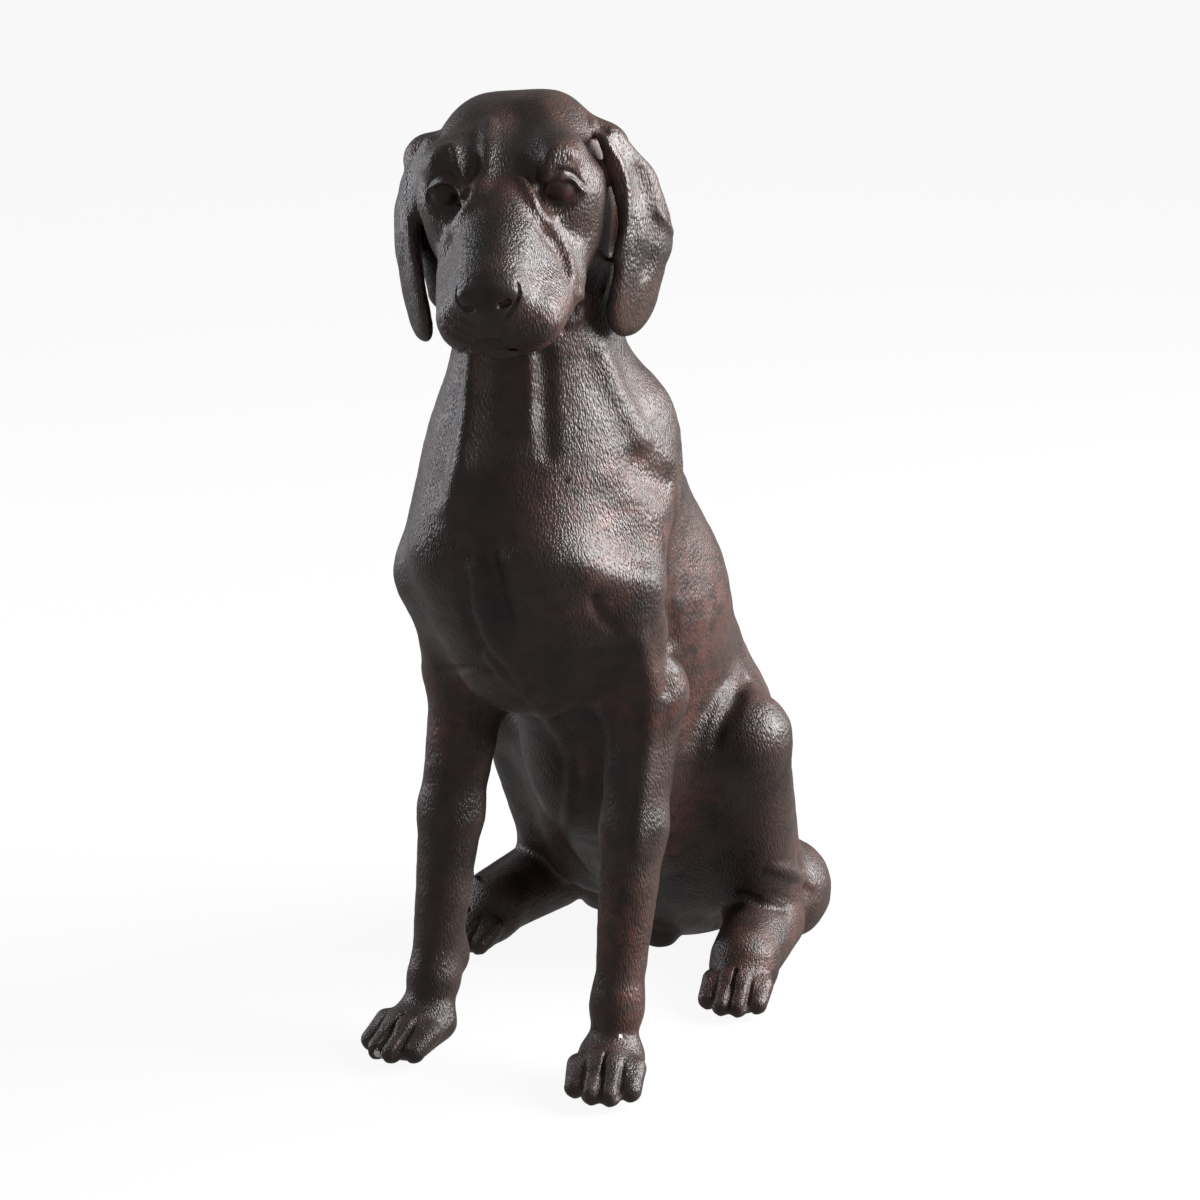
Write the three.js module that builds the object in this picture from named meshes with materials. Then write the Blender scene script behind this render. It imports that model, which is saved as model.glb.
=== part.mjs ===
// A sitting hound cast in one piece, standing on its paws, hind feet and rump with no plinth.
// Its clay is a distance field of softly joined lobes, and a net of faces is drawn over it.
// Millimetres. +X is the dog's left, -Y the way its chest faces, +Z up, the floor at z = 0.
import * as THREE from 'three';
import { SimplifyModifier } from 'three/addons/modifiers/SimplifyModifier.js';

const height = 800; // floor to the top of the skull, within a hundredth
const faceCount = 9600; // faces left on the finished skin

// The pose and the forms are drawn in thousandths of the height.
const share = height / 1000;
const netCell = 5; // spacing of the first net of faces
const patch = 5; // nodes along each side of the patches of space that are searched for the skin
const reach = { x: 252, front: -150, back: 700, top: 1030 }; // space that the net looks through
const origin = { x: -19, y: 281 }; // where the frame's origin lies between the toes and the rump

const sides = [1, -1]; // left, right
const v3 = (x, y, z) => new THREE.Vector3(x, y, z);
const rad = THREE.MathUtils.degToRad;

// A frame of its own for the head or a paw: a to its left, b forward, c up, from a point.
function frameAt(point, yaw, pitch, roll) {
  const turn = new THREE.Euler(rad(pitch), rad(-roll), rad(yaw), 'ZXY');
  const axes = [v3(1, 0, 0), v3(0, -1, 0), v3(0, 0, 1)].map((axis) => axis.applyEuler(turn));
  const at = (a, b, c) =>
    point
      .clone()
      .addScaledVector(axes[0], a)
      .addScaledVector(axes[1], b)
      .addScaledVector(axes[2], c);
  return { point, axes, at };
}

const bodyFrame = frameAt(v3(0, 0, 0), 0, 0, 0);

// Shapes: each is a function of x, y, z, negative inside, near to a distance outside.

// A rounded taper from one point to another, squeezed to `flat` of its radius along `side`.
function lobe(from, to, rFrom, rTo, flat = 1, side = bodyFrame.axes[0]) {
  const along = to.clone().sub(from);
  const length = Math.max(along.length(), 1e-6);
  along.divideScalar(length);
  const s = side;
  return (x, y, z) => {
    const px = x - from.x;
    const py = y - from.y;
    const pz = z - from.z;
    const run = px * along.x + py * along.y + pz * along.z;
    const t = Math.min(Math.max(run / length, 0), 1);
    const qx = px - along.x * t * length;
    const qy = py - along.y * t * length;
    const qz = pz - along.z * t * length;
    const across = (qx * s.x + qy * s.y + qz * s.z) ** 2;
    const rest = Math.max(qx * qx + qy * qy + qz * qz - across, 0);
    const far = Math.sqrt(rest + across / flat ** 2) + 1e-6;
    const steep = Math.sqrt(rest + across / flat ** 4) / far + 1e-6;
    return (far - rFrom - (rTo - rFrom) * t) / steep;
  };
}

// An egg with a radius along each axis of a frame.
function egg(centre, radii, frame = bodyFrame) {
  const [a, b, c] = frame.axes;
  const [ra, rb, rc] = radii;
  return (x, y, z) => {
    const px = x - centre.x;
    const py = y - centre.y;
    const pz = z - centre.z;
    const u = (px * a.x + py * a.y + pz * a.z) / ra;
    const v = (px * b.x + py * b.y + pz * b.z) / rb;
    const w = (px * c.x + py * c.y + pz * c.z) / rc;
    const k0 = Math.sqrt(u * u + v * v + w * w) + 1e-9;
    const k1 = Math.sqrt((u / ra) ** 2 + (v / rb) ** 2 + (w / rc) ** 2) + 1e-9;
    return (k0 * (k0 - 1)) / k1;
  };
}

function softMin(a, b, k) {
  const h = Math.max(k - Math.abs(a - b), 0) / k;
  return Math.min(a, b) - (h * h * k) / 4;
}
const softMax = (a, b, k) => -softMin(-a, -b, k);

// A hanging flap, such as an ear: an outline of joined discs [down, across, radius] in the plane
// that `down` and `across` span, with a thickness, and curling away from the plane at its edges.
function flap(root, down, across, discs, thick, curl) {
  const out = down.clone().cross(across).normalize();
  return (x, y, z) => {
    const px = x - root.x;
    const py = y - root.y;
    const pz = z - root.z;
    const p = px * down.x + py * down.y + pz * down.z;
    const q = px * across.x + py * across.y + pz * across.z;
    const n = px * out.x + py * out.y + pz * out.z - curl(p, q);
    let rim = Infinity;
    for (let i = 1; i < discs.length; i++) {
      const [p0, q0, r0] = discs[i - 1];
      const [p1, q1, r1] = discs[i];
      const dp = p1 - p0;
      const dq = q1 - q0;
      const run = ((p - p0) * dp + (q - q0) * dq) / (dp * dp + dq * dq);
      const t = Math.min(Math.max(run, 0), 1);
      const off = Math.hypot(p - p0 - dp * t, q - q0 - dq * t) - r0 - (r1 - r0) * t;
      rim = softMin(rim, off, 12);
    }
    return softMax(rim, Math.abs(n) - thick / 2, thick * 0.8);
  };
}

// The clay, in the order that it is put on and cut away.
const clay = [];
const add = (blend, ...shapes) => shapes.forEach((shape) => clay.push({ shape, blend, cut: false }));
const carve = (blend, ...shapes) => shapes.forEach((shape) => clay.push({ shape, blend, cut: true }));

function trunk() {
  add(1, lobe(v3(-6, 136, 585), v3(0, 455, 165), 143, 125, 0.8)); // chest to pelvis
  add(60, lobe(v3(-3, 238, 580), v3(0, 405, 320), 92, 102, 0.9)); // back
  add(60, egg(v3(0, 528, 95), [98, 112, 118])); // rump on the floor
  add(50, lobe(v3(0, 275, 260), v3(0, 458, 84), 86, 64, 0.9)); // belly down to the groin
  add(16, egg(v3(0, 420, 8), [18, 20, 14])); // bump under the groin
  for (const s of sides) add(60, egg(v3(s * 40, 296, 440), [60, 82, 78])); // ribs
}

// The tail lies on the floor, curled round the rump to the dog's right.
function tail() {
  const bends = [v3(0, 600, 74), v3(-38, 640, 42), v3(-92, 650, 25), v3(-140, 622, 19), v3(-172, 576, 15)];
  const radii = [34, 27, 22, 18, 13];
  for (let i = 1; i < bends.length; i++) {
    add(i === 1 ? 24 : 8, lobe(bends[i - 1], bends[i], radii[i - 1], radii[i]));
  }
}

function neckAndShoulders() {
  add(60, lobe(v3(-4, 137, 640), v3(3, 97, 850), 110, 81, 0.86)); // neck
  for (const s of sides) {
    add(40, lobe(v3(s * 70 - 6, 178, 657), v3(s * 95 - 6, 100, 512), 49, 47)); // shoulder blade
    add(40, lobe(v3(s * 91, 97, 494), v3(s * 101, 142, 395), 41, 42)); // upper arm
    add(40, lobe(v3(s * 42, 46, 545), v3(s * 22, 94, 428), 58, 52)); // breast
  }
}

// Where the forelegs and hind legs stand, left then right.
const forelegs = [
  { s: 1, elbow: v3(101, 150, 385), middle: v3(103, 119, 255), wrist: v3(104, 77, 74), turn: 16 },
  { s: -1, elbow: v3(-99, 152, 375), middle: v3(-107, 122, 240), wrist: v3(-109, 82, 64), turn: -10 },
];
const hindlegs = [
  { s: 1, hip: v3(46, 466, 252), knee: v3(135, 343, 286), ankle: v3(124, 428, 80), turn: 10 },
  { s: -1, hip: v3(-46, 466, 252), knee: v3(-146, 352, 288), ankle: v3(-155, 460, 84), turn: -12 },
];

function foreleg({ s, elbow, middle, wrist, turn }) {
  add(24, lobe(elbow, middle, 43, 34, 0.94));
  add(14, lobe(middle, wrist, 34, 24));
  add(12, egg(wrist.clone().add(v3(0, 0, 8)), [25, 28, 30])); // wrist bones
  add(8, egg(wrist.clone().add(v3(-s * 18, 26, 26)), [10, 12, 24])); // pad behind the wrist
  const stand = frameAt(v3(wrist.x, wrist.y - 12, 0), turn, 0, 0);
  paw(stand, wrist, { length: 88, width: 78, high: 48 });
}

// A paw in its own frame: a pad, and four toes that fan out to the front.
function paw(frame, from, size) {
  const heel = frame.at(0, 4, size.high * 0.58);
  add(14, lobe(from, heel, 23, size.high * 0.5));
  const ball = frame.at(0, size.length * 0.46, size.high * 0.46);
  add(12, lobe(heel, ball, size.high * 0.56, size.high * 0.56, 1.3, frame.axes[0]));
  for (const toe of [-1.5, -0.5, 0.5, 1.5]) {
    const inner = Math.abs(toe) < 1;
    const across = (toe / 4) * size.width;
    const knuckle = frame.at(across * 0.98, size.length * (inner ? 0.56 : 0.4), size.high * 0.62);
    const tip = frame.at(across * 0.95, size.length * (inner ? 0.86 : 0.7), size.high * 0.36);
    add(5, lobe(knuckle, tip, size.width * 0.16, size.width * 0.155));
  }
  for (const gap of [-1, 0, 1]) {
    const top = frame.at((gap / 4) * size.width, size.length * 0.5, size.high * 0.98);
    const foot = frame.at((gap / 4) * size.width * 0.95, size.length * (gap ? 0.95 : 1.07), size.high * 0.3);
    carve(3, lobe(top, foot, 3.4, 4.2, 0.6, frame.axes[0])); // cleft between two toes
  }
}

function hindleg({ s, hip, knee, ankle, turn }) {
  const foot = frameAt(v3(ankle.x, ankle.y, 0), turn, 0, 0);
  const heel = foot.at(0, -46, 44);
  add(40, lobe(hip, knee, 72, 43, 0.8)); // thigh
  add(26, lobe(knee, ankle.clone().add(v3(-s * 6, 0, 0)), 45, 40)); // shin
  add(30, lobe(v3(s * 80, 338, 262), v3(s * 86, 432, 98), 56, 50)); // inner side of the folded leg
  add(30, lobe(v3(s * 91, 440, 212), v3(s * 94, 480, 100), 53, 46)); // back of the thigh
  add(20, egg(v3(s * 97, 528, 42), [61, 71, 60])); // seat beside the heel
  add(12, lobe(heel, ankle, 32, 38));
  add(8, egg(foot.at(s * 14, -44, 88), [14, 16, 15])); // point of the hock
  add(12, lobe(foot.at(0, 0, 46), foot.at(0, 108, 41), 44, 38, 1, foot.axes[0])); // instep
  const stand = frameAt(foot.at(0, 108, 0), turn, 0, 0);
  paw(stand, foot.at(0, 70, 36), { length: 84, width: 75, high: 46 });
}

const head = frameAt(v3(-2.5, 70, 917), 17.9, 17.1, 5);

function headAndFace() {
  const side = head.axes[0];
  for (const s of sides) add(24, egg(head.at(s * 24, -22, -1), [59, 98, 66], head)); // skull
  add(30, lobe(head.at(0, 45, -14), head.at(0, 158, -46), 58, 40, 0.97, side)); // muzzle
  add(20, lobe(head.at(0, 50, 14), head.at(0, 172, -22), 36, 22, 1.25, side)); // bridge of the nose
  add(10, egg(head.at(0, 186, -29), [33, 20, 21], head)); // nose
  add(16, lobe(head.at(0, 30, -80), head.at(0, 156, -84), 36, 21, 1.25, side)); // lower jaw
  for (const s of sides) {
    add(26, egg(head.at(s * 46, 14, -36), [42, 62, 54], head)); // cheek
    add(20, egg(head.at(s * 58, 30, 2), [30, 42, 32], head)); // cheekbone
    add(20, lobe(head.at(s * 34, 86, -66), head.at(s * 27, 156, -68), 38, 34)); // upper lip
    add(14, egg(head.at(s * 44, 40, 38), [34, 36, 23], head)); // brow
    carve(10, egg(head.at(s * 56, 84, 14), [20, 22, 13], head)); // eye socket
    add(3, egg(head.at(s * 54, 58, 14), [18, 18, 16], head)); // eyeball
  }
  ears.forEach(ear);
  carve(14, lobe(head.at(0, 92, 52), head.at(0, 20, 92), 12, 10)); // furrow between the brows
}

// How the ears hang, left then right: how far the plane of the flap turns out, how far it bows,
// and how far out the web of skin behind it lies.
const ears = [
  { s: 1, root: head.at(80, 4, 36), spread: 0.6, bow: 22, web: 83 },
  { s: -1, root: head.at(-73, 4, 34), spread: 0.5, bow: 9, web: 94 },
];

function ear({ s, root, spread, bow, web }) {
  add(20, lobe(head.at(s * (web - 4), -52, -4), head.at(s * web, -62, -150), 28, 24));
  const down = v3(s * 0.04, -0.04, -1).normalize();
  const across = head.at(s * spread, -0.9, -0.15).sub(head.point);
  across.addScaledVector(down, -across.dot(down)).normalize();
  const curl = (p, q) => s * (bow - ((p - 75) / 25) ** 2 - Math.max(q - 40, 0) ** 2 / 220);
  const discs = [[5, 14, 18], [58, 44, 32], [106, 57, 45], [154, 48, 42]];
  const corner = [[88, 62, 32], [109, 97, 16]];
  add(8, flap(root, down, across, discs, 15, curl), flap(root, down, across, corner, 15, curl));
}

// One shape for a fold along the skin: a chain of tapers, thin at both ends.
function chain(radius, ...points) {
  const width = (i) => (i === 0 || i === points.length - 1 ? radius * 0.45 : radius);
  const links = points.slice(1).map((to, i) => lobe(points[i], to, width(i), width(i + 1)));
  return (x, y, z) => Math.min(...links.map((link) => link(x, y, z)));
}

function folds() {
  const muscle = [[-8, 16, 790], [-16, 16, 755], [-20, 13, 700], [-22, -2, 649], [-36, -4, 604]];
  const beside = [[-6, 2, 770], [-5, 0, 742], [-4, -14, 680], [-4, -16, 650]];
  const throat = [[48, 30, 780], [49, 24, 757], [52, 18, 703], [58, 8, 660]];
  const breastbone = [[12, -10, 690], [12, -14, 660], [14, -29, 601], [22, -37, 554], [29, -14, 490]];
  const flank = [[122, 358, 356], [130, 325, 338], [130, 285, 315], [118, 262, 285]];
  const lipRight = [[-48, 140, -106], [-30, 166, -98], [-8, 176, -90]];
  const lipLeft = [[14, 178, -88], [38, 150, -100], [58, 104, -98]];
  add(16, chain(14, ...muscle.map((place) => v3(...place))));
  carve(12, chain(8, ...beside.map((place) => v3(...place))));
  carve(10, chain(7, ...throat.map((place) => v3(...place))));
  carve(12, chain(8, ...breastbone.map((place) => v3(...place))));
  for (const s of sides) carve(9, chain(7, ...flank.map(([x, y, z]) => v3(s * x, y, z))));
  carve(4, chain(4, ...[...lipRight, ...lipLeft].map((place) => head.at(...place))));
}

trunk();
tail();
neckAndShoulders();
headAndFace();
forelegs.forEach(foreleg);
hindlegs.forEach(hindleg);
folds();

function depthOf(x, y, z) {
  let d = Infinity;
  for (const { shape, blend, cut } of clay) {
    const other = shape(x, y, z);
    d = cut ? softMax(d, -other, blend) : softMin(d, other, blend);
  }
  return d;
}

// The net: each cell of a grid is split into six four-cornered blocks, and each block that the
// skin passes through gets one or two faces between the points where it crosses the edges.
function drawNet() {
  const counts = [2 * reach.x, reach.back - reach.front, reach.top].map((d) => Math.ceil(d / netCell) + 2);
  const low = [-reach.x, reach.front, -netCell / 2];
  const [nx, ny, nz] = counts;
  const depth = new Float32Array(nx * ny * nz);
  const nodeAt = (n) => [n % nx, Math.floor(n / nx) % ny, Math.floor(n / (nx * ny))];
  const placeOf = (node) => node.map((i, axis) => low[axis] + i * netCell);
  const coarse = new Map(); // depth at the middle of each patch of nodes
  for (let n = 0; n < depth.length; n++) {
    const node = nodeAt(n);
    const corner = node.map((i) => i - (i % patch));
    const key = corner[0] + nx * (corner[1] + ny * corner[2]);
    if (!coarse.has(key)) coarse.set(key, depthOf(...placeOf(corner.map((i) => i + (patch - 1) / 2))));
    const middle = coarse.get(key);
    const place = placeOf(node);
    const near = Math.abs(middle) < patch * netCell * 1.4;
    depth[n] = Math.max(near ? depthOf(...place) : middle, -place[2]); // flat on the floor
  }

  const points = [];
  const pointOn = new Map();
  // The point where the skin crosses from node a to node b.
  function crossing(a, b) {
    const key = Math.min(a, b) * depth.length + Math.max(a, b);
    if (!pointOn.has(key)) {
      const t = depth[a] / (depth[a] - depth[b]);
      const to = nodeAt(b);
      pointOn.set(key, points.length / 3);
      points.push(...placeOf(nodeAt(a).map((from, axis) => from + (to[axis] - from) * t)));
    }
    return pointOn.get(key);
  }

  const faces = [];
  const steps = [1, nx, nx * ny];
  const walks = [[0, 1, 2], [1, 2, 0], [2, 0, 1], [0, 2, 1], [2, 1, 0], [1, 0, 2]]; // last 3 odd
  for (let n = 0; n + steps[0] + steps[1] + steps[2] < depth.length; n++) {
    walks.forEach(([a, b], walk) => {
      const ends = [n, n + steps[a], n + steps[a] + steps[b], n + steps[0] + steps[1] + steps[2]];
      const inside = ends.filter((node) => depth[node] < 0);
      if (inside.length === 0 || inside.length === 4) return;
      const lone = inside.length === 3 ? ends.filter((node) => depth[node] >= 0) : inside;
      const order = [...lone, ...ends.filter((node) => !lone.includes(node))];
      let odd = walk > 2;
      for (let i = 0; i < 4; i++) {
        for (let j = i + 1; j < 4; j++) if (ends.indexOf(order[i]) > ends.indexOf(order[j])) odd = !odd;
      }
      const [p, q, r, s] = order;
      const ring =
        lone.length === 1
          ? [crossing(p, q), crossing(p, r), crossing(p, s)]
          : [crossing(p, r), crossing(p, s), crossing(q, s), crossing(q, r)];
      if (odd !== (inside.length === 3)) ring.reverse();
      for (let i = 2; i < ring.length; i++) faces.push(ring[0], ring[i - 1], ring[i]);
    });
  }
  return { points, faces };
}

const net = drawNet();
const skin = new THREE.BufferGeometry();
skin.setAttribute('position', new THREE.Float32BufferAttribute(net.points, 3));
skin.setIndex(net.faces);
skin.translate(-origin.x, -origin.y, 0);
skin.scale(share, share, share);

const spare = skin.attributes.position.count - Math.round(faceCount / 2) - 2;
const finished = await new SimplifyModifier().modify(skin, spare);
finished.computeVertexNormals();

const patina = new THREE.MeshStandardMaterial({ color: 0x3a2e2b, roughness: 0.5, metalness: 0 });
const dog = new THREE.Mesh(finished, patina);
dog.name = 'dog';

const group = new THREE.Group();
group.add(dog);

export default group;
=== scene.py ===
# A sitting hound, cast in one piece, with a worn brown-black patina.
# Its clay is a distance field of softly joined lobes, the same as the solid's, with the finer
# modelling put on; a fine net of faces is drawn over it, thinned and smoothed.
import math
import time
import bpy
import numpy as np
from mathutils import Matrix, Vector


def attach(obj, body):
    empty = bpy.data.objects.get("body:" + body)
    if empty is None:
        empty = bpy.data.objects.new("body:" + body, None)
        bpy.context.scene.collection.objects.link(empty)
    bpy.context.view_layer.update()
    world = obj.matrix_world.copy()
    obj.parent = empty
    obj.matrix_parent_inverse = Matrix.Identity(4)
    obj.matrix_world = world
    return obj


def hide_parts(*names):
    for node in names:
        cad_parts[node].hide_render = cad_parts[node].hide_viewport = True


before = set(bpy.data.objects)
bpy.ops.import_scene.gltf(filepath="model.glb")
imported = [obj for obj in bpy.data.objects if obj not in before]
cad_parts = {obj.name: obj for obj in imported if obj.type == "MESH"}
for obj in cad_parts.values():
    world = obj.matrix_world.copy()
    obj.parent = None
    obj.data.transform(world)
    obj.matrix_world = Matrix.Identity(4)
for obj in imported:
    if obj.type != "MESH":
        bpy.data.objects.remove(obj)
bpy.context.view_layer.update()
started = time.time()

# The figure is drawn in thousandths of its height, like the solid it dresses.
figure = {
    "height": 0.8,  # metres, floor to the top of the skull
    "originX": -19.0,  # where the frame's origin lies, from the midline
    "originY": 281.0,  # and from the toes
    "cell": 1.8,  # spacing of the net of faces
    "faces": 192000,  # triangles left on the finished skin
    "relief": 1.0,  # how strongly folds and creases stand out
    "hammering": 0.9,  # depth of the uneven, beaten skin
    "smallLumps": (0.6, 7.0),  # share and size
    "largeLumps": (0.8, 19.0),
}
share = figure["height"] / 1000
sides = (1, -1)  # left, right

# Where the camera stands, in the figure's units. Its picture is taken as 1200 by 1200.
view = {
    "place": (1389.98, -2722.01, 1412.5),
    "tilt": 73.6,  # degrees up from straight down
    "azimuth": 25.0,
    "lens": 98.43,  # mm
    "sensor": 36,  # mm
    "picture": 1200,  # its spots across and down
    "nearest": 2300.0,  # where the search along a line of sight begins
}


def say(text):
    print("%5.1f s  %s" % (time.time() - started, text))


def point(x, y, z):
    return np.array((x, y, z), float)


def unit(v):
    return v / np.linalg.norm(v)


class Frame:
    # Axes of its own for the head or a paw: a to its left, b forward, c up, from a point.
    def __init__(self, centre, yaw=0.0, pitch=0.0, roll=0.0):
        turn = (Matrix.Rotation(math.radians(yaw), 3, "Z")
                @ Matrix.Rotation(math.radians(pitch), 3, "X")
                @ Matrix.Rotation(math.radians(-roll), 3, "Y"))
        self.centre = np.array(centre, float)
        self.axes = [np.array(turn @ Vector(axis)) for axis in ((1, 0, 0), (0, -1, 0), (0, 0, 1))]

    def at(self, a, b, c):
        return self.centre + a * self.axes[0] + b * self.axes[1] + c * self.axes[2]


bodyFrame = Frame((0, 0, 0))


# Shapes: each is a function of x, y, z, negative inside, near to a distance outside.

def lobe(start, end, rStart, rEnd, flat=1.0, side=bodyFrame.axes[0]):  # a rounded taper
    along = end - start
    length = max(float(np.linalg.norm(along)), 1e-6)
    along = along / length

    def shape(x, y, z):
        px, py, pz = x - start[0], y - start[1], z - start[2]
        t = np.clip((px * along[0] + py * along[1] + pz * along[2]) / length, 0, 1)
        reach = t * length
        qx, qy, qz = px - along[0] * reach, py - along[1] * reach, pz - along[2] * reach
        if flat == 1.0:
            return np.sqrt(qx * qx + qy * qy + qz * qz) - rStart - (rEnd - rStart) * t
        across = (qx * side[0] + qy * side[1] + qz * side[2]) ** 2
        rest = np.maximum(qx * qx + qy * qy + qz * qz - across, 0)
        far = np.sqrt(rest + across / flat ** 2) + 1e-6
        steep = np.sqrt(rest + across / flat ** 4) / far + 1e-6
        return (far - rStart - (rEnd - rStart) * t) / steep

    return shape


def egg(centre, radii, axes=bodyFrame):  # a radius along each axis of a frame
    (a, b, c), (ra, rb, rc) = axes.axes, radii

    def shape(x, y, z):
        px, py, pz = x - centre[0], y - centre[1], z - centre[2]
        u = (px * a[0] + py * a[1] + pz * a[2]) / ra
        v = (px * b[0] + py * b[1] + pz * b[2]) / rb
        w = (px * c[0] + py * c[1] + pz * c[2]) / rc
        k0 = np.sqrt(u * u + v * v + w * w) + 1e-6
        k1 = np.sqrt((u / ra) ** 2 + (v / rb) ** 2 + (w / rc) ** 2) + 1e-6
        return k0 * (k0 - 1) / k1

    return shape


def softMin(a, b, k):
    h = np.maximum(k - np.abs(a - b), 0) / k
    return np.minimum(a, b) - h * h * k / 4


def softMax(a, b, k):
    return -softMin(-a, -b, k)


def flap(root, down, across, discs, thick, curl):  # an outline of joined discs, curled
    out = unit(np.cross(down, across))

    def shape(x, y, z):
        px, py, pz = x - root[0], y - root[1], z - root[2]
        p = px * down[0] + py * down[1] + pz * down[2]
        q = px * across[0] + py * across[1] + pz * across[2]
        n = px * out[0] + py * out[1] + pz * out[2] - curl(p, q)
        rim = None
        for (p0, q0, r0), (p1, q1, r1) in zip(discs, discs[1:]):
            dp, dq = p1 - p0, q1 - q0
            t = np.clip(((p - p0) * dp + (q - q0) * dq) / (dp * dp + dq * dq), 0, 1)
            off = np.hypot(p - p0 - dp * t, q - q0 - dq * t) - r0 - (r1 - r0) * t
            rim = off if rim is None else softMin(rim, off, 12)
        return softMax(rim, np.abs(n) - thick / 2, thick * 0.8)

    return shape


# The clay, in the order that it is put on and cut away.
clay = []


def add(blend, *shapes):
    clay.extend((shape, blend, False) for shape in shapes)


def carve(blend, *shapes):
    clay.extend((shape, blend, True) for shape in shapes)


def depthAt(places):  # depth of the clay at rows of x, y, z
    x, y, z = np.asarray(places, float).T
    depth = np.full(x.shape, 1e4)
    for shape, blend, cut in clay:
        other = shape(x, y, z)
        depth = softMax(depth, -other, blend) if cut else softMin(depth, other, blend)
    return depth


def onSkin(places, rounds=4):  # moves points to the skin, and gives its outward direction there
    places = np.array(places, float)
    for _ in range(rounds):
        depth, slope = skinSlope(places)
        places -= slope * (depth / (slope ** 2).sum(1))[:, None]
    slope = skinSlope(places)[1]
    return places, slope / np.linalg.norm(slope, axis=1)[:, None]


def skinSlope(places, step=0.5):
    probes = [places] + [places + step * np.eye(3)[axis] for axis in range(3)]
    depths = depthAt(np.concatenate(probes)).reshape(4, -1)
    return depths[0], ((depths[1:] - depths[0]) / step).T


# Lines drawn on the skin: raised where the height is over 0, cut in where it is under. Their
# points are places in the figure, or spots in the camera's picture, which then fall on the skin.
lines = []


def draw(points, width, height, blend=4.0, ends=0.0, closed=False):
    lines.append({
        "points": np.array(points, float), "width": width, "height": height * figure["relief"],
        "blend": blend, "ends": ends, "closed": closed,
    })


def seenPlaces(spots, rounds=90):  # where lines of sight through spots of the picture meet the skin
    turn = (Matrix.Rotation(math.radians(view["azimuth"]), 3, "Z")
            @ Matrix.Rotation(math.radians(view["tilt"]), 3, "X"))
    right, up, back = (np.array(turn @ Vector(axis)) for axis in ((1, 0, 0), (0, 1, 0), (0, 0, 1)))
    focal, middle = view["picture"] * view["lens"] / view["sensor"], view["picture"] / 2
    spots = np.asarray(spots, float)
    ways = (spots[:, :1] - middle) / focal * right - (spots[:, 1:] - middle) / focal * up - back
    ways /= np.linalg.norm(ways, axis=1)[:, None]
    run = np.full(len(spots), view["nearest"])
    best, nearest = run.copy(), np.full(len(spots), 1e9)
    for _ in range(rounds):
        depth = depthAt(np.array(view["place"]) + ways * run[:, None])
        closer = np.abs(depth) < nearest
        best[closer], nearest[closer] = run[closer], np.abs(depth)[closer]
        run += np.clip(depth * 0.7, -6, 150)
    return np.array(view["place"]) + ways * best[:, None]


def smoothed(points, closed, steps=5):  # a smooth curve through the points
    n = len(points)
    if n < 3 and not closed:
        run = points[-1] - points[0]
        return np.array([points[0] + run * t for t in np.linspace(0, 1, steps + 1)])
    pick = (lambda i: points[i % n]) if closed else (lambda i: points[min(max(i, 0), n - 1)])
    rows = []
    for i in range(n if closed else n - 1):
        p0, p1, p2, p3 = (pick(i + j) for j in (-1, 0, 1, 2))
        for t in np.arange(steps) / steps:
            rows.append(0.5 * (2 * p1 + (p2 - p0) * t + (2 * p0 - 5 * p1 + 4 * p2 - p3) * t * t
                               + (3 * p1 - p0 - 3 * p2 + p3) * t ** 3))
    if not closed:
        rows.append(points[-1])
    return np.array(rows)


def bead(places, radii, closed):  # one shape for a whole chain of short tapers
    pairs = list(zip(range(len(places) - 1), range(1, len(places))))
    if closed:
        pairs.append((len(places) - 1, 0))
    links = [lobe(places[i], places[j], radii[i], radii[j]) for i, j in pairs]

    def shape(x, y, z):
        depth = links[0](x, y, z)
        for link in links[1:]:
            depth = np.minimum(depth, link(x, y, z))
        return depth

    return shape


def pressLines():  # settles every line on the skin at once, then puts it on or cuts it in
    routes = [smoothed(line["points"], line["closed"]) for line in lines]
    flat = [i for i, route in enumerate(routes) if route.shape[1] == 2]
    if flat:
        seen = seenPlaces(np.concatenate([routes[i] for i in flat]))
        for i in flat:
            routes[i], seen = seen[:len(routes[i])], seen[len(routes[i]):]
    settled, out = onSkin(np.concatenate(routes))
    first = 0
    for line, route in zip(lines, routes):
        places, away = settled[first:first + len(route)], out[first:first + len(route)]
        first += len(route)
        swell = np.ones(len(route))
        if not line["closed"]:
            arch = np.sin(math.pi * np.linspace(0.04, 0.96, len(route))) ** 0.6
            swell = line["ends"] + (1 - line["ends"]) * arch
        radius = line["width"] / 2 * (0.5 + 0.5 * swell)
        height = line["height"] * swell
        lift = height - radius if line["height"] > 0 else height + radius
        shape = bead(places + away * lift[:, None], radius, line["closed"])
        if line["height"] > 0:
            add(line["blend"], shape)
        else:
            carve(line["blend"], shape)
    lines.clear()


# The hound, part by part.

def trunk():
    add(1, lobe(point(-6, 136, 585), point(0, 455, 165), 143, 125, 0.8))  # chest to pelvis
    add(60, lobe(point(-3, 238, 580), point(0, 405, 320), 92, 102, 0.9))  # back
    add(60, egg(point(0, 528, 95), (98, 112, 118)))  # rump on the floor
    add(50, lobe(point(0, 275, 260), point(0, 458, 84), 86, 64, 0.9))  # belly down to the groin
    add(16, egg(point(0, 420, 8), (18, 20, 14)))  # bump under the groin
    for s in sides:
        add(60, egg(point(s * 40, 296, 440), (60, 82, 78)))  # ribs


def tail():  # on the floor, curled round the rump to the dog's right
    bends = [(0, 600, 74), (-38, 640, 42), (-92, 649.6, 25), (-140, 622, 19), (-172, 576, 15)]
    radii = (34, 27, 22, 18, 13)
    for i in range(1, len(bends)):
        add(24 if i == 1 else 8, lobe(point(*bends[i - 1]), point(*bends[i]), radii[i - 1], radii[i]))


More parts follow.
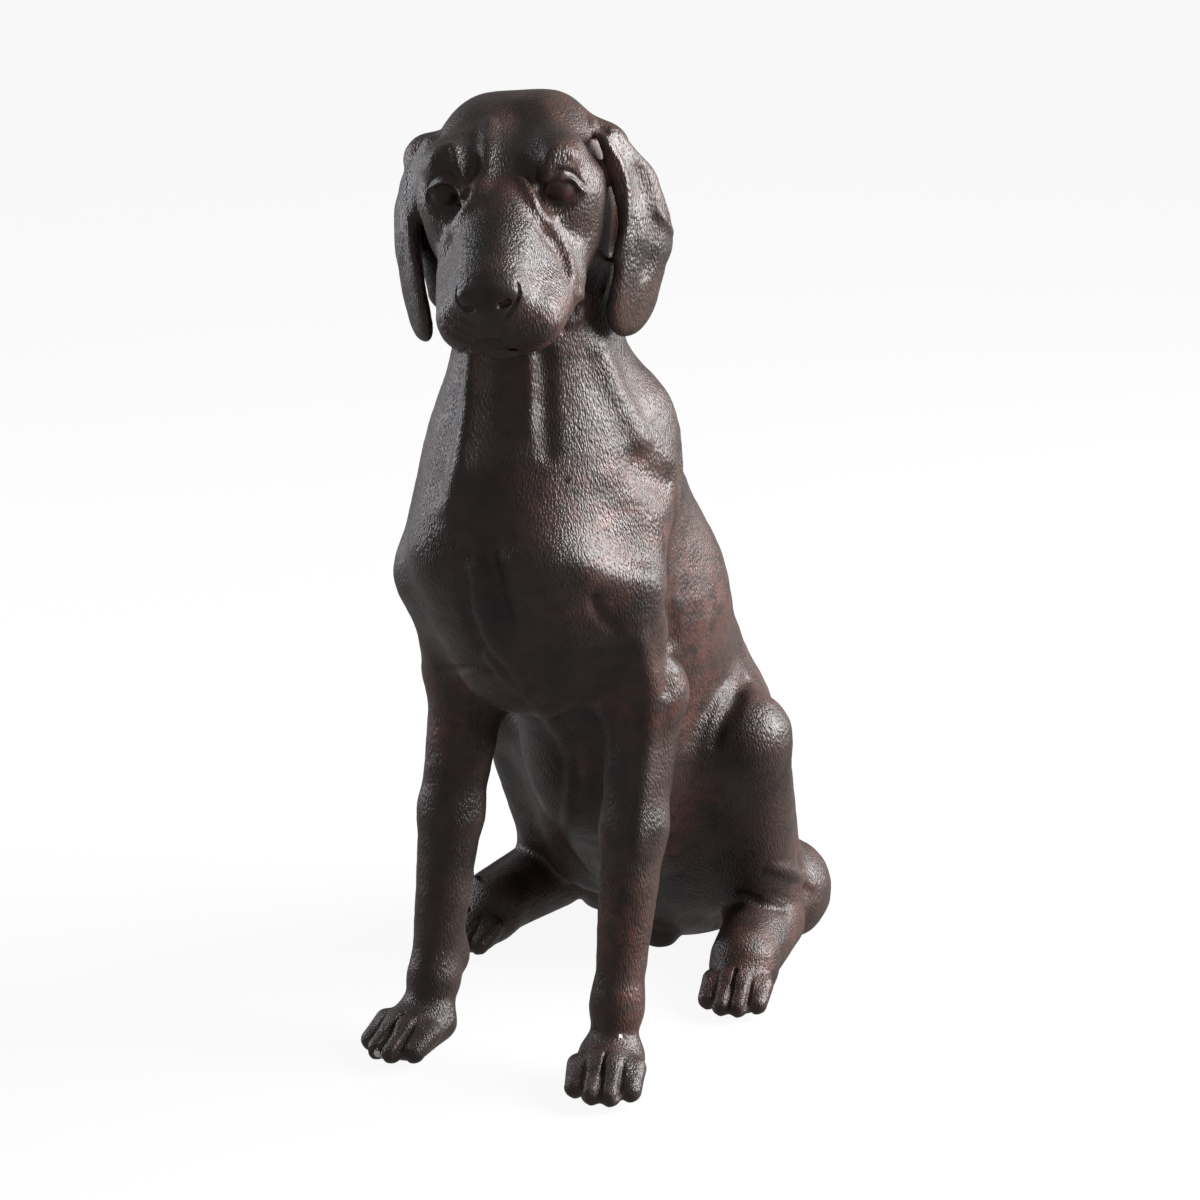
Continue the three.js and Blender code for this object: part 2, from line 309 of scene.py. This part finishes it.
def neckAndShoulders():
    add(60, lobe(point(-4, 137, 640), point(3, 97, 850), 110, 81, 0.86))  # neck
    for s in sides:
        add(40, lobe(point(s * 70 - 6, 178, 657), point(s * 95 - 6, 100, 512), 49, 47))  # shoulder blade
        add(40, lobe(point(s * 91, 97, 494), point(s * 101, 142, 395), 41, 42))  # upper arm
        add(40, lobe(point(s * 42, 46, 545), point(s * 22, 94, 428), 58, 52))  # breast


forelegs = [
    {"s": 1, "turn": 16,
     "elbow": point(101, 150, 385), "middle": point(103, 119, 255), "wrist": point(104, 77, 74)},
    {"s": -1, "turn": -10,
     "elbow": point(-99, 152, 375), "middle": point(-107, 122, 240), "wrist": point(-109, 82, 64)},
]
hindlegs = [
    {"s": 1, "turn": 10,
     "hip": point(46, 466, 252), "knee": point(135, 343, 286), "ankle": point(124, 428, 80)},
    {"s": -1, "turn": -12,
     "hip": point(-46, 466, 252), "knee": point(-146, 352, 288), "ankle": point(-155, 460, 84)},
]


def foreleg(s, elbow, middle, wrist, turn):
    add(24, lobe(elbow, middle, 43, 34, 0.94))
    add(14, lobe(middle, wrist, 34, 24))
    add(12, egg(wrist + point(0, 0, 8), (25, 28, 30)))  # wrist bones
    add(8, egg(wrist + point(-s * 18, 26, 26), (10, 12, 24)))  # pad behind the wrist
    paw(Frame((wrist[0], wrist[1] - 12, 0), turn), wrist, 88, 78, 48)


def paw(stand, start, length, width, high):  # a pad, and four toes that fan out to the front
    heel = stand.at(0, 4, high * 0.58)
    add(14, lobe(start, heel, 23, high * 0.5))
    ball = stand.at(0, length * 0.46, high * 0.46)
    add(12, lobe(heel, ball, high * 0.56, high * 0.56, 1.3, stand.axes[0]))
    for toe in (-1.5, -0.5, 0.5, 1.5):
        inner = abs(toe) < 1
        across = toe / 4 * width
        knuckle = stand.at(across * 0.98, length * (0.56 if inner else 0.4), high * 0.62)
        tip = stand.at(across * 0.95, length * (0.843 if inner else 0.69), high * 0.36)
        add(5, lobe(knuckle, tip, width * 0.16, width * 0.155))
        claw = stand.at(across * 0.95, length * (0.915 if inner else 0.755), high * 0.3)
        add(2.5, lobe(claw, claw - point(0, 0, 4), 3.6, 3.0))
    for gap in (-1, 0, 1):  # clefts between the toes
        reach = length * (1.07 if gap == 0 else 0.95)
        top = stand.at(gap / 4 * width, length * 0.5, high * 0.98)
        foot = stand.at(gap / 4 * width * 0.95, reach, high * 0.3)
        carve(3, lobe(top, foot, 2.6, 3.2, 0.6, stand.axes[0]))


def hindleg(s, hip, knee, ankle, turn):
    foot = Frame((ankle[0], ankle[1], 0), turn)
    heel = foot.at(0, -46, 44)
    add(40, lobe(hip, knee, 72, 43, 0.8))  # thigh
    add(26, lobe(knee, ankle - point(s * 6, 0, 0), 45, 40))  # shin
    add(30, lobe(point(s * 80, 338, 262), point(s * 86, 432, 98), 56, 50))  # inner side of the folded leg
    add(30, lobe(point(s * 91, 440, 212), point(s * 94, 480, 100), 53, 46))  # back of the thigh
    add(20, egg(point(s * 97, 528, 42), (61, 71, 60)))  # seat beside the heel
    add(12, lobe(heel, ankle, 32, 38))
    add(8, egg(foot.at(s * 14, -44, 88), (14, 16, 15)))  # point of the hock
    add(12, lobe(foot.at(0, 0, 46), foot.at(0, 108, 41), 44, 38, 1, foot.axes[0]))  # instep
    paw(Frame(foot.at(0, 108, 0), turn), foot.at(0, 70, 36), 84, 75, 46)


head = Frame((-2.5, 70, 917), 17.9, 17.1, 5)


def headAndFace():
    side = head.axes[0]
    for s in sides:
        add(24, egg(head.at(s * 24, -22, -1), (59, 98, 66), head))  # skull
    add(30, lobe(head.at(0, 45, -14), head.at(0, 158, -46), 58, 40, 0.97, side))  # muzzle
    add(20, lobe(head.at(0, 50, 14), head.at(0, 172, -22), 36, 22, 1.25, side))  # bridge of the nose
    add(10, egg(head.at(0, 185, -29), (33, 19.1, 21), head))  # nose
    add(16, lobe(head.at(0, 30, -80), head.at(0, 156, -84), 36, 21, 1.25, side))  # lower jaw
    for s in sides:
        add(26, egg(head.at(s * 46, 14, -36), (42, 62, 54), head))  # cheek
        add(20, egg(head.at(s * 58, 30, 2), (30, 42, 32), head))  # cheekbone
        add(20, lobe(head.at(s * 34, 86, -66), head.at(s * 27, 156, -68), 38, 34))  # upper lip
        add(14, egg(head.at(s * 44, 40, 38), (34, 36, 23), head))  # brow
        carve(10, egg(head.at(s * 56, 84, 14), (20, 22, 13), head))  # eye socket
        add(3, egg(head.at(s * 54, 58, 14), (18, 18, 16), head))  # eyeball
    for hanging in ears:
        ear(**hanging)
    carve(14, lobe(head.at(0, 92, 52), head.at(0, 20, 92), 12, 10))  # furrow between the brows


ears = [
    {"s": 1, "root": head.at(80, 4, 36), "spread": 0.6, "bow": 22, "web": 83},
    {"s": -1, "root": head.at(-73, 4, 34), "spread": 0.5, "bow": 9, "web": 94},
]


def ear(s, root, spread, bow, web):
    add(20, lobe(head.at(s * (web - 4), -52, -4), head.at(s * web, -62, -150), 28, 24))
    down = unit(point(s * 0.04, -0.04, -1))
    across = head.at(s * spread, -0.9, -0.15) - head.centre
    across = unit(across - down * across.dot(down))
    curl = lambda p, q: s * (bow - ((p - 75) / 25) ** 2 - np.maximum(q - 40, 0) ** 2 / 220)
    discs = [(5, 14, 18), (58, 44, 32), (106, 57, 45), (154, 48, 42)]
    corner = [(88, 62, 32), (109, 97, 16)]
    add(8, flap(root, down, across, discs, 15, curl), flap(root, down, across, corner, 15, curl))


def chain(radius, places):  # one shape for a fold along the skin, thin at both ends
    radii = [radius] * len(places)
    radii[0] = radii[-1] = radius * 0.45
    return bead(places, radii, False)


def folds():
    muscle = [(-8, 16, 790), (-16, 16, 755), (-20, 13, 700), (-22, -2, 649), (-36, -4, 604)]
    beside = [(-6, 2, 770), (-5, 0, 742), (-4, -14, 680), (-4, -16, 650)]
    throat = [(48, 30, 780), (49, 24, 757), (52, 18, 703), (58, 8, 660)]
    breastbone = [(12, -10, 690), (12, -14, 660), (14, -29, 601), (22, -37, 554), (29, -14, 490)]
    flank = [(122, 358, 356), (130, 325, 338), (130, 285, 315), (118, 262, 285)]
    lip = [(-48, 140, -106), (-30, 166, -98), (-8, 176, -90), (14, 178, -88), (38, 150, -100),
           (58, 104, -98)]
    onBody = lambda places, s=1: [point(s * x, y, z) for x, y, z in places]
    add(22, chain(11, onBody(muscle)))
    carve(16, chain(6, onBody(beside)))
    carve(14, chain(5, onBody(throat)))
    carve(12, chain(8, onBody(breastbone)))
    for s in sides:
        carve(9, chain(7, onBody(flank, s)))
    carve(4, chain(4, [head.at(*place) for place in lip]))


# The finer modelling, drawn as the camera sees it.

def fineEyes():
    draw([(427, 201), (429, 190), (438, 182), (450, 181.5), (459, 189.5), (463.5, 201)],
         5.5, 4.6, 1.5, 0.5)
    draw([(428, 201), (432.5, 206), (440, 209.5), (450, 209.5), (459, 206.5), (463, 202)],
         4.5, 3.2, 1.5, 0.5)
    draw([(425, 192), (431, 181), (440, 175), (452, 175), (461, 183), (466, 194)], 3, -2.2, 2)
    draw([(430, 212), (440, 216), (451, 216), (461, 212)], 3, -1.4, 3)
    draw([(544.5, 200), (547, 188.5), (554.5, 179.5), (564, 177), (573, 181), (579, 188), (585, 192)],
         5.5, 4.6, 1.5, 0.5)
    draw([(545, 201.5), (556.5, 203), (568, 200), (576, 195), (583, 193)], 4.5, 3.2, 1.5, 0.5)
    draw([(546, 182), (553, 173), (564, 170.5), (575, 174), (583, 182), (590, 187)], 3, -2.2, 2)
    draw([(549, 209), (560, 210), (572, 205), (583, 199)], 3, -1.4, 3)


def fineBrows():
    draw([(454, 146), (457.5, 158), (461.5, 171), (465.5, 190)], 9, 2.6, 7)  # ridge of the right brow
    draw([(430, 164), (437, 153), (447, 147), (455, 148)], 12, 2.2, 9)
    draw([(471, 136), (473, 158), (476, 178)], 13, -2.4, 14)
    draw([(489, 122), (489, 150), (486, 174), (480, 190)], 12, 2.8, 12)
    draw([(520, 112), (522, 140), (525, 160), (529, 178)], 26, -3.6, 24)  # dark furrow
    draw([(545, 178), (547, 163), (551, 154), (558, 149), (566, 148.5), (575, 153)], 11, 1.5, 9)


def fineCheeks():
    draw([(522, 179), (528, 192), (538, 208), (550, 226), (560, 242), (568, 260), (571, 272)],
         12, 1.2, 12)
    draw([(519, 183), (525, 199), (536, 219), (549, 237), (561, 255), (567, 276)], 8, -0.6, 10)
    draw([(478, 180), (474, 196), (464, 211), (450, 233), (444, 251)], 10, 2.2, 10)
    draw([(470, 190), (462, 204), (448, 222)], 6, -1.4, 6)


def fineNose():
    draw([(460, 294), (473, 291), (488, 290), (504, 290.5), (515, 292)], 9, 0.5, 7, 0.4)  # leather
    draw([(456.5, 283), (455.5, 295), (458.5, 305), (464.5, 310.5), (471, 311)], 3.6, -3.4, 2, 0.3)
    draw([(518, 283), (520.5, 292), (517.5, 302), (512, 311.5), (506, 319)], 3.6, -3.4, 2, 0.3)
    draw([(464, 310), (467, 310.8), (471, 310)], 6, -5.5, 2, 0.7)  # nostrils
    draw([(501, 307), (505, 305.8), (508.5, 303.5)], 6.5, -6, 2, 0.7)


def fineMouth():
    draw([(457, 354), (464, 352.5), (471, 347.5), (480, 343.5), (492, 342), (504, 343.5)],
         3.4, -2.0, 2, 0.3)
    draw([(526, 350), (541, 346.5), (552.5, 340), (563, 331), (570, 324.5)], 3.4, -1.8, 2, 0.3)
    draw([(475, 350), (487, 352.5), (500, 352.5), (511, 350)], 10, 2.0, 6, 0.5)  # chin
    # The corner of the mouth.
    draw([(571, 322), (578, 317), (582, 309), (583, 301), (580.5, 294)], 10, 3.2, 7, 0.4)
    draw([(567, 320), (573, 311), (576, 303), (575, 295)], 4, -1.8, 4)
    for x, y in ((450.5, 312), (447, 320), (446, 328)):
        draw([(x, y), (x + 10, y + 8), (x + 24, y + 14)], 4, -1.2, 4)
    for x, y in ((512, 326), (516, 333)):
        draw([(x, y), (x + 14, y - 1), (x + 28, y - 7)], 4, -0.9, 4)


def fineEars():
    draw([(593, 119), (592, 128), (599, 136), (608, 138)], 6, 2.4, 5)  # fold at the top
    draw([(599, 124), (606, 131)], 6, -2, 4)
    draw([(606, 142), (618, 158), (626, 180), (628, 203), (625, 232), (613, 262), (604, 292)],
         7, 2.6, 6)
    draw([(640, 175), (650, 205), (655, 235), (648, 270)], 16, -2.2, 14)
    draw([(660, 212), (673, 233)], 9, 2.6, 6)
    draw([(408, 172), (406, 201), (412, 250), (424, 290)], 7, 2.0, 6)


def fineNeckAndChest():
    draw([(530, 362), (535, 390), (533, 428)], 15, 1.1, 14)
    draw([(545, 356), (545, 410), (548, 452)], 12, -1.2, 14)
    draw([(600, 350), (622, 400), (642, 440)], 20, 2.2, 18)
    draw([(486, 540), (492, 571), (498, 595), (508, 627)], 12, -2.4, 12)  # breastbone
    draw([(467, 573), (467, 605), (478, 638), (501.5, 666), (519, 683)], 10, -3.0, 10)
    draw([(517, 562), (564, 560), (618, 579), (651, 579)], 26, 1.4, 22)
    draw([(478, 572), (483, 605), (495, 638), (512, 662), (530, 690)], 22, 3.0, 18)
    draw([(438, 668), (458, 670), (480, 668), (505, 677)], 5, -2.2, 5)
    draw([(594, 600), (599, 614), (618, 633)], 8, -1.6, 8)
    draw([(640, 468), (655, 476), (668, 484)], 28, -3.4, 24)
    draw([(488, 654), (500, 672), (515, 687)], 10, 2.0, 9)
    draw([(527, 695), (545, 713), (566, 741), (575, 769), (571, 835), (590, 868)], 14, 3.6, 12)  # belly
    draw([(668, 600), (672, 640), (668, 690)], 14, -2.4, 14)
    draw([(640, 640), (650, 690), (646, 760), (636, 850)], 12, 1.8, 14)  # bone of the left forearm


def fineHind():
    draw([(748, 679), (738, 691), (730.5, 705), (721, 723), (716, 745)], 8, -2.6, 8, 0.2)  # flank
    draw([(772, 868), (783, 869.5), (798, 876), (813, 885)], 12, 4.0, 8)  # hock
    draw([(742, 893), (762, 904), (785, 909)], 8, -4.4, 6)
    draw([(720, 905), (716, 928)], 6, -3, 5)
    draw([(517, 848), (497, 862), (473, 877)], 6, 1.8, 6)


def fineHiddenSides():  # what the photo doesn't show, plainer
    draw([(0, 215, 790), (0, 290, 640), (0, 400, 490), (0, 520, 300)], 16, -4, 14)  # spine
    for s in sides:
        draw([(s * 58, 225, 700), (s * 98, 175, 560)], 18, 3, 16)


trunk()
tail()
neckAndShoulders()
headAndFace()
for leg in forelegs:
    foreleg(**leg)
for leg in hindlegs:
    hindleg(**leg)
folds()
marks = dict(zip(("toe", "speck", "rightEye", "leftEye", "nose", "muzzle"), seenPlaces(
    [(379, 1054), (621, 1036), (446, 196), (561, 190), (488, 303), (537, 256)])))
for modelling in (fineEyes, fineBrows, fineCheeks, fineNose, fineMouth, fineEars,
                  fineNeckAndChest, fineHind, fineHiddenSides):
    modelling()
pressLines()
say("clay: %d shapes" % len(clay))


# The net of faces.

net = {
    "low": (-252.0, -150.0, 0.0),  # the space looked through, in the figure's own units
    "high": (252.0, 700.0, 1030.0),
    "block": 8,  # cells along each side of a block
    "farther": 20.0,  # how far past its blend a shape is still felt
}


def drawNet():
    cell, block = figure["cell"], net["block"]
    low = np.array(net["low"]) - point(0, 0, cell / 2)
    counts = np.ceil((np.array(net["high"]) - low) / (cell * block)).astype(int)
    width = cell * block
    grid = np.stack(np.meshgrid(*[np.arange(c) for c in counts], indexing="ij"), -1).reshape(-1, 3)
    centres = low + (grid + 0.5) * width
    coarse = np.maximum(depthAt(centres), -centres[:, 2]).astype(np.float32)
    near = np.abs(coarse) < width * 1.3
    blocks, middles = grid[near], centres[near].astype(np.float32)

    steps = np.arange(block + 1)
    inner = np.stack(np.meshgrid(steps, steps, steps, indexing="ij"), -1).reshape(-1, 3)
    nodes = blocks[:, None, :] * block + inner[None]
    x, y, z = ((nodes[..., axis] * cell + low[axis]).astype(np.float32) for axis in range(3))
    depth = np.full(x.shape, 1e4, np.float32)
    laterBlend = np.maximum.accumulate([blend for _, blend, _ in clay][::-1])[::-1]
    for (shape, blend, cut), later in zip(clay, laterBlend):
        far = shape(*middles.T) < blend + later + net["farther"] + width
        other = shape(x[far], y[far], z[far]).astype(np.float32)
        join, sign = (softMax, -1) if cut else (softMin, 1)
        depth[far] = join(depth[far], sign * other, blend)
    depth = np.maximum(depth, -z)  # flat on the floor

    whole = np.ones(counts * block + 1, np.float32) * 9
    whole[:-1, :-1, :-1] = coarse.reshape(counts).repeat(block, 0).repeat(block, 1).repeat(block, 2)
    whole[nodes[..., 0], nodes[..., 1], nodes[..., 2]] = depth
    say("net: %d blocks of %d" % (len(blocks), len(grid)))
    return whole, low, cell


def facesOf(whole, low, cell):  # one point in each cell that the skin crosses, joined in fours
    inside = whole < 0
    cells, points, flips = [], [], []
    strides = np.array((inside.shape[1] * inside.shape[2], inside.shape[2], 1))
    for axis in range(3):
        ahead = [slice(None)] * 3
        behind = [slice(None)] * 3
        ahead[axis], behind[axis] = slice(1, None), slice(0, -1)
        start = np.stack(np.nonzero(inside[tuple(behind)] != inside[tuple(ahead)]), 1)
        end = start.copy()
        end[:, axis] += 1
        a, b = whole[tuple(start.T)], whole[tuple(end.T)]
        place = start.astype(float)
        place[:, axis] += a / (a - b)
        u, v = strides[(axis + 1) % 3], strides[(axis + 2) % 3]
        home = start @ strides
        cells.append(np.stack((home - u - v, home - v, home, home - u), 1))
        points.append(place)
        flips.append(a < 0)
    cells, points, flips = (np.concatenate(group) for group in (cells, points, flips))
    names, corner = np.unique(cells.ravel(), return_inverse=True)
    corner = corner.reshape(-1, 4)
    shares = np.bincount(corner.ravel(), minlength=len(names))
    vertices = np.stack([np.bincount(corner.ravel(), points[:, axis].repeat(4), len(names)) / shares
                         for axis in range(3)], 1)
    corner[~flips] = corner[~flips][:, ::-1]
    return vertices * cell + low, corner


def meshFrom(name, vertices, quads):
    mesh = bpy.data.meshes.new(name)
    mesh.vertices.add(len(vertices))
    mesh.vertices.foreach_set("co", np.asarray(vertices, np.float32).ravel())
    mesh.loops.add(quads.size)
    mesh.loops.foreach_set("vertex_index", quads.astype(np.int32).ravel())
    mesh.polygons.add(len(quads))
    mesh.polygons.foreach_set("loop_start", np.arange(0, quads.size, 4, dtype=np.int32))
    mesh.update(calc_edges=True)
    mesh.validate()
    return mesh


def metres(places):  # from the figure's units to the frame's metres
    return (np.asarray(places, float) - point(figure["originX"], figure["originY"], 0)) * share


def pattern(places, size):  # smooth, repeatable chance from 0 to 1, in lumps of a size
    cells = np.floor(places / size)
    part = places / size - cells
    part = part * part * (3 - 2 * part)
    total = np.zeros(len(places))
    for corner in np.ndindex(2, 2, 2):
        home = (cells + corner).astype(np.int64)
        mixed = home @ np.array((73856093, 19349663, 83492791)) % 2147483647
        chance = mixed * 48271 % 2147483647 / 2147483647
        total += chance * np.prod(np.where(np.array(corner) == 1, part, 1 - part), axis=1)
    return total


def hammer(mesh, places):  # sinks the skin by uneven amounts, never outwards
    out = np.empty(len(places) * 3, np.float32)
    mesh.vertex_normals.foreach_get("vector", out)
    (little, fine), (much, coarse) = figure["smallLumps"], figure["largeLumps"]
    lumps = little * pattern(places, fine) + much * pattern(places + 300, coarse)
    sink = figure["hammering"] * lumps * np.clip(places[:, 2] / 8, 0, 1)
    return places - out.reshape(-1, 3) * sink[:, None]


def makeHound():
    places, quads = facesOf(*drawNet())
    say("skin: %d faces" % len(quads))
    dense = meshFrom("denseHound", metres(places), quads)
    dense.vertices.foreach_set("co", metres(hammer(dense, places)).astype(np.float32).ravel())
    dense.update()
    hound = bpy.data.objects.new("hound", dense)
    bpy.context.collection.objects.link(hound)
    thin = hound.modifiers.new("thin", "DECIMATE")
    thin.ratio = min(1.0, figure["faces"] / (2 * len(quads)))
    thinned = hound.evaluated_get(bpy.context.evaluated_depsgraph_get())
    finished = bpy.data.meshes.new_from_object(thinned)
    hound.modifiers.clear()
    hound.data = finished
    finished.name = "hound"
    bpy.data.meshes.remove(dense)
    finished.polygons.foreach_set("use_smooth", np.ones(len(finished.polygons), bool))
    say("thinned: %d faces" % len(finished.polygons))
    return hound


patina = {
    "dark": (0.019, 0.0125, 0.0115, 1),
    "brown": (0.048, 0.029, 0.024, 1),
    "rust": (0.098, 0.036, 0.027, 1),
    "chip": (0.75, 0.72, 0.68, 1),
    "toneScale": 26,  # cloud patterns, per metre
    "rustScale": 7,
    "speckleScale": 70,
    "chipScale": 260,
    "wearScale": 45,
    "grainScale": 900,
    "roughness": (0.31, 0.46),
    "rubbedAway": 0.09,  # how much smoother the muzzle is
    "gloss": 0.42,
    "strokes": 640.0,  # per metre, across their length
    "strokeLength": 0.4,  # the smaller, the longer
    "wander": 0.03,  # metres
    "strokeDepth": 0.00085,  # metres
}


def makePatina():
    material = bpy.data.materials.new("patina")
    material.use_nodes = True
    tree = material.node_tree
    nodes, links = tree.nodes, tree.links
    shader = nodes["Principled BSDF"]
    place = nodes.new("ShaderNodeTexCoord").outputs["Object"]

    def feed(socket, value):
        if isinstance(value, (int, float)):
            socket.default_value = value
        else:
            links.new(value, socket)

    def cloud(scale, detail, roughness=0.55, where=place):
        texture = nodes.new("ShaderNodeTexNoise")
        texture.inputs["Scale"].default_value = scale
        texture.inputs["Detail"].default_value = detail
        texture.inputs["Roughness"].default_value = roughness
        links.new(where, texture.inputs["Vector"])
        return texture

    def ramp(source, *stops):
        node = nodes.new("ShaderNodeValToRGB")
        while len(node.color_ramp.elements) < len(stops):
            node.color_ramp.elements.new(0.5)
        for element, (position, colour) in zip(node.color_ramp.elements, stops):
            element.position = position
            element.color = colour
        links.new(source, node.inputs["Fac"])
        return node.outputs["Color"]

    def grey(source, low, high, first=0.0, last=1.0):  # from first to last, as low to high
        node = nodes.new("ShaderNodeMapRange")
        ends = (("From Min", first), ("From Max", last), ("To Min", low), ("To Max", high))
        for name, value in ends:
            node.inputs[name].default_value = value
        links.new(source, node.inputs["Value"])
        return node.outputs["Result"]

    def sums(operation, a, b):
        node = nodes.new("ShaderNodeMath")
        node.operation = operation
        feed(node.inputs[0], a)
        feed(node.inputs[1], b)
        return node.outputs["Value"]

    def blended(factor, first, second):
        node = nodes.new("ShaderNodeMix")
        node.data_type = "RGBA"
        links.new(factor, node.inputs["Factor"])
        for name, value in (("A", first), ("B", second)):
            socket = [s for s in node.inputs if s.name == name and s.type == "RGBA"][0]
            if isinstance(value, tuple):
                socket.default_value = value
            else:
                links.new(value, socket)
        return [s for s in node.outputs if s.type == "RGBA"][0]

    def nearTo(mark, radius, soft):  # 1 near a mark on the skin, 0 away from it
        node = nodes.new("ShaderNodeVectorMath")
        node.operation = "DISTANCE"
        links.new(place, node.inputs[0])
        node.inputs[1].default_value = tuple(metres(marks[mark]))
        return grey(node.outputs["Value"], 1.0, 0.0, radius, radius + soft)

    tone = ramp(cloud(patina["toneScale"], 7, 0.62).outputs["Fac"],
                (0.36, patina["dark"]), (0.62, patina["brown"]))
    patches, speckles = cloud(patina["rustScale"], 3), cloud(patina["speckleScale"], 5, 0.65)
    rusty = sums("MULTIPLY", grey(patches.outputs["Fac"], 0.0, 1.0, 0.46, 0.66),
                 grey(speckles.outputs["Fac"], 0.0, 1.0, 0.42, 0.62))
    colour = blended(rusty, tone, patina["rust"])

    chipNoise = cloud(patina["chipScale"], 3).outputs["Fac"]
    toeChip, speck = nearTo("toe", 0.001, 0.005), nearTo("speck", 0.0, 0.0025)
    chips = sums("MULTIPLY", sums("MAXIMUM", toeChip, speck),
                 grey(chipNoise, 0.0, 2.0, 0.44, 0.52))
    colour = blended(grey(chips, 0.0, 1.0, 0.45, 0.6), colour, patina["chip"])
    links.new(colour, shader.inputs["Base Color"])

    low, high = patina["roughness"]
    worn = grey(nearTo("muzzle", 0.012, 0.03), 0.0, -patina["rubbedAway"])
    wear = cloud(patina["wearScale"], 4).outputs["Fac"]
    links.new(sums("ADD", grey(wear, low, high, 0.35, 0.65), worn),
              shader.inputs["Roughness"])
    shader.inputs["Specular IOR Level"].default_value = patina["gloss"]

    bend = nodes.new("ShaderNodeVectorMath")  # strokes run down the body, and wander
    bend.operation = "MULTIPLY_ADD"
    links.new(cloud(9, 1).outputs["Color"], bend.inputs[0])
    bend.inputs[1].default_value = (patina["wander"],) * 3
    links.new(place, bend.inputs[2])
    drawn = nodes.new("ShaderNodeMapping")
    drawn.inputs["Rotation"].default_value = (0.25, 0.2, 0.0)
    drawn.inputs["Scale"].default_value = (1.0, 1.0, patina["strokeLength"])
    links.new(bend.outputs["Vector"], drawn.inputs["Vector"])
    strokes = nodes.new("ShaderNodeTexVoronoi")
    strokes.feature = "SMOOTH_F1"
    strokes.inputs["Scale"].default_value = patina["strokes"]
    strokes.inputs["Smoothness"].default_value = 0.5
    links.new(drawn.outputs["Vector"], strokes.inputs["Vector"])
    grain = cloud(patina["grainScale"], 2, 0.6, drawn.outputs["Vector"]).outputs["Fac"]
    height = sums("ADD", sums("MULTIPLY", strokes.outputs["Distance"], -1.0),
                  sums("MULTIPLY", grain, 0.5))
    eyes = sums("MAXIMUM", *(nearTo(eye, 0.012, 0.004) for eye in ("rightEye", "leftEye")))
    smooth = sums("MAXIMUM", eyes, nearTo("nose", 0.014, 0.012))
    bump = nodes.new("ShaderNodeBump")
    bump.inputs["Distance"].default_value = patina["strokeDepth"]
    links.new(grey(smooth, 0.75, 0.12), bump.inputs["Strength"])
    links.new(height, bump.inputs["Height"])
    links.new(bump.outputs["Normal"], shader.inputs["Normal"])
    return material


studio = {
    "floorSize": 60,  # metres
    "farthest": 200,  # that the camera sees
    "floor": 0.06,  # share of light that the floor gives back
    "floorGlow": 0.92,  # and what it adds, so that it stays pale without lighting from above
    "world": 0.28,
    "aim": (0, 0, 0.5),
    "sideBox": 240.0,  # watts, from the viewer's right and a little behind the hound
    "sidePlace": (2.1, 1.15, 1.35),
    "sideSize": (1.8, 2.0),
    "weakSideBox": 30.0,  # from the viewer's left
    "weakSidePlace": (-2.3, 0.1, 1.0),
    "weakSideSize": (0.9, 1.8),
    "weakSideColour": (0.93, 0.93, 1),
}


def areaLight(name, spot, size, power, colour=(1, 1, 1)):
    light = bpy.data.lights.new(name, "AREA")
    light.shape = "RECTANGLE"
    light.size, light.size_y = size
    light.energy = power
    light.color = colour
    lamp = bpy.data.objects.new(name, light)
    lamp.location = spot
    lamp.visible_camera = False
    way = Vector(studio["aim"]) - Vector(spot)
    lamp.rotation_euler = way.to_track_quat("-Z", "Y").to_euler()
    bpy.context.collection.objects.link(lamp)


def makeStudio():
    camera = bpy.data.cameras.new("camera")
    camera.lens = view["lens"]
    camera.sensor_width = view["sensor"]
    camera.clip_end = studio["farthest"]
    stand = bpy.data.objects.new("camera", camera)
    stand.location = metres(view["place"])
    stand.rotation_euler = (math.radians(view["tilt"]), 0, math.radians(view["azimuth"]))
    bpy.context.collection.objects.link(stand)
    bpy.context.scene.camera = stand

    bpy.ops.mesh.primitive_plane_add(size=studio["floorSize"])
    floor = bpy.context.object
    floor.name = "floor"
    pale = bpy.data.materials.new("paleFloor")
    pale.use_nodes = True
    shader = pale.node_tree.nodes["Principled BSDF"]
    shader.inputs["Base Color"].default_value = (studio["floor"],) * 3 + (1,)
    shader.inputs["Roughness"].default_value = 1.0
    shader.inputs["Specular IOR Level"].default_value = 0.0
    shader.inputs["Emission Color"].default_value = (1, 1, 1, 1)
    shader.inputs["Emission Strength"].default_value = studio["floorGlow"]
    floor.data.materials.append(pale)
    floor.visible_diffuse = floor.visible_glossy = False  # its glow would veil the dark patina

    world = bpy.data.worlds.new("studio")
    bpy.context.scene.world = world
    world.use_nodes = True
    world.node_tree.nodes["Background"].inputs["Color"].default_value = (1, 1, 1, 1)
    world.node_tree.nodes["Background"].inputs["Strength"].default_value = studio["world"]
    bpy.context.scene.view_settings.view_transform = "Standard"
    areaLight("sideBox", studio["sidePlace"], studio["sideSize"], studio["sideBox"])
    areaLight("weakSideBox", studio["weakSidePlace"], studio["weakSideSize"], studio["weakSideBox"],
              studio["weakSideColour"])


hound = makeHound()
hound.data.materials.clear()
hound.data.materials.append(makePatina())
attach(hound, "root")
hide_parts("dog")
makeStudio()
say("dressed")
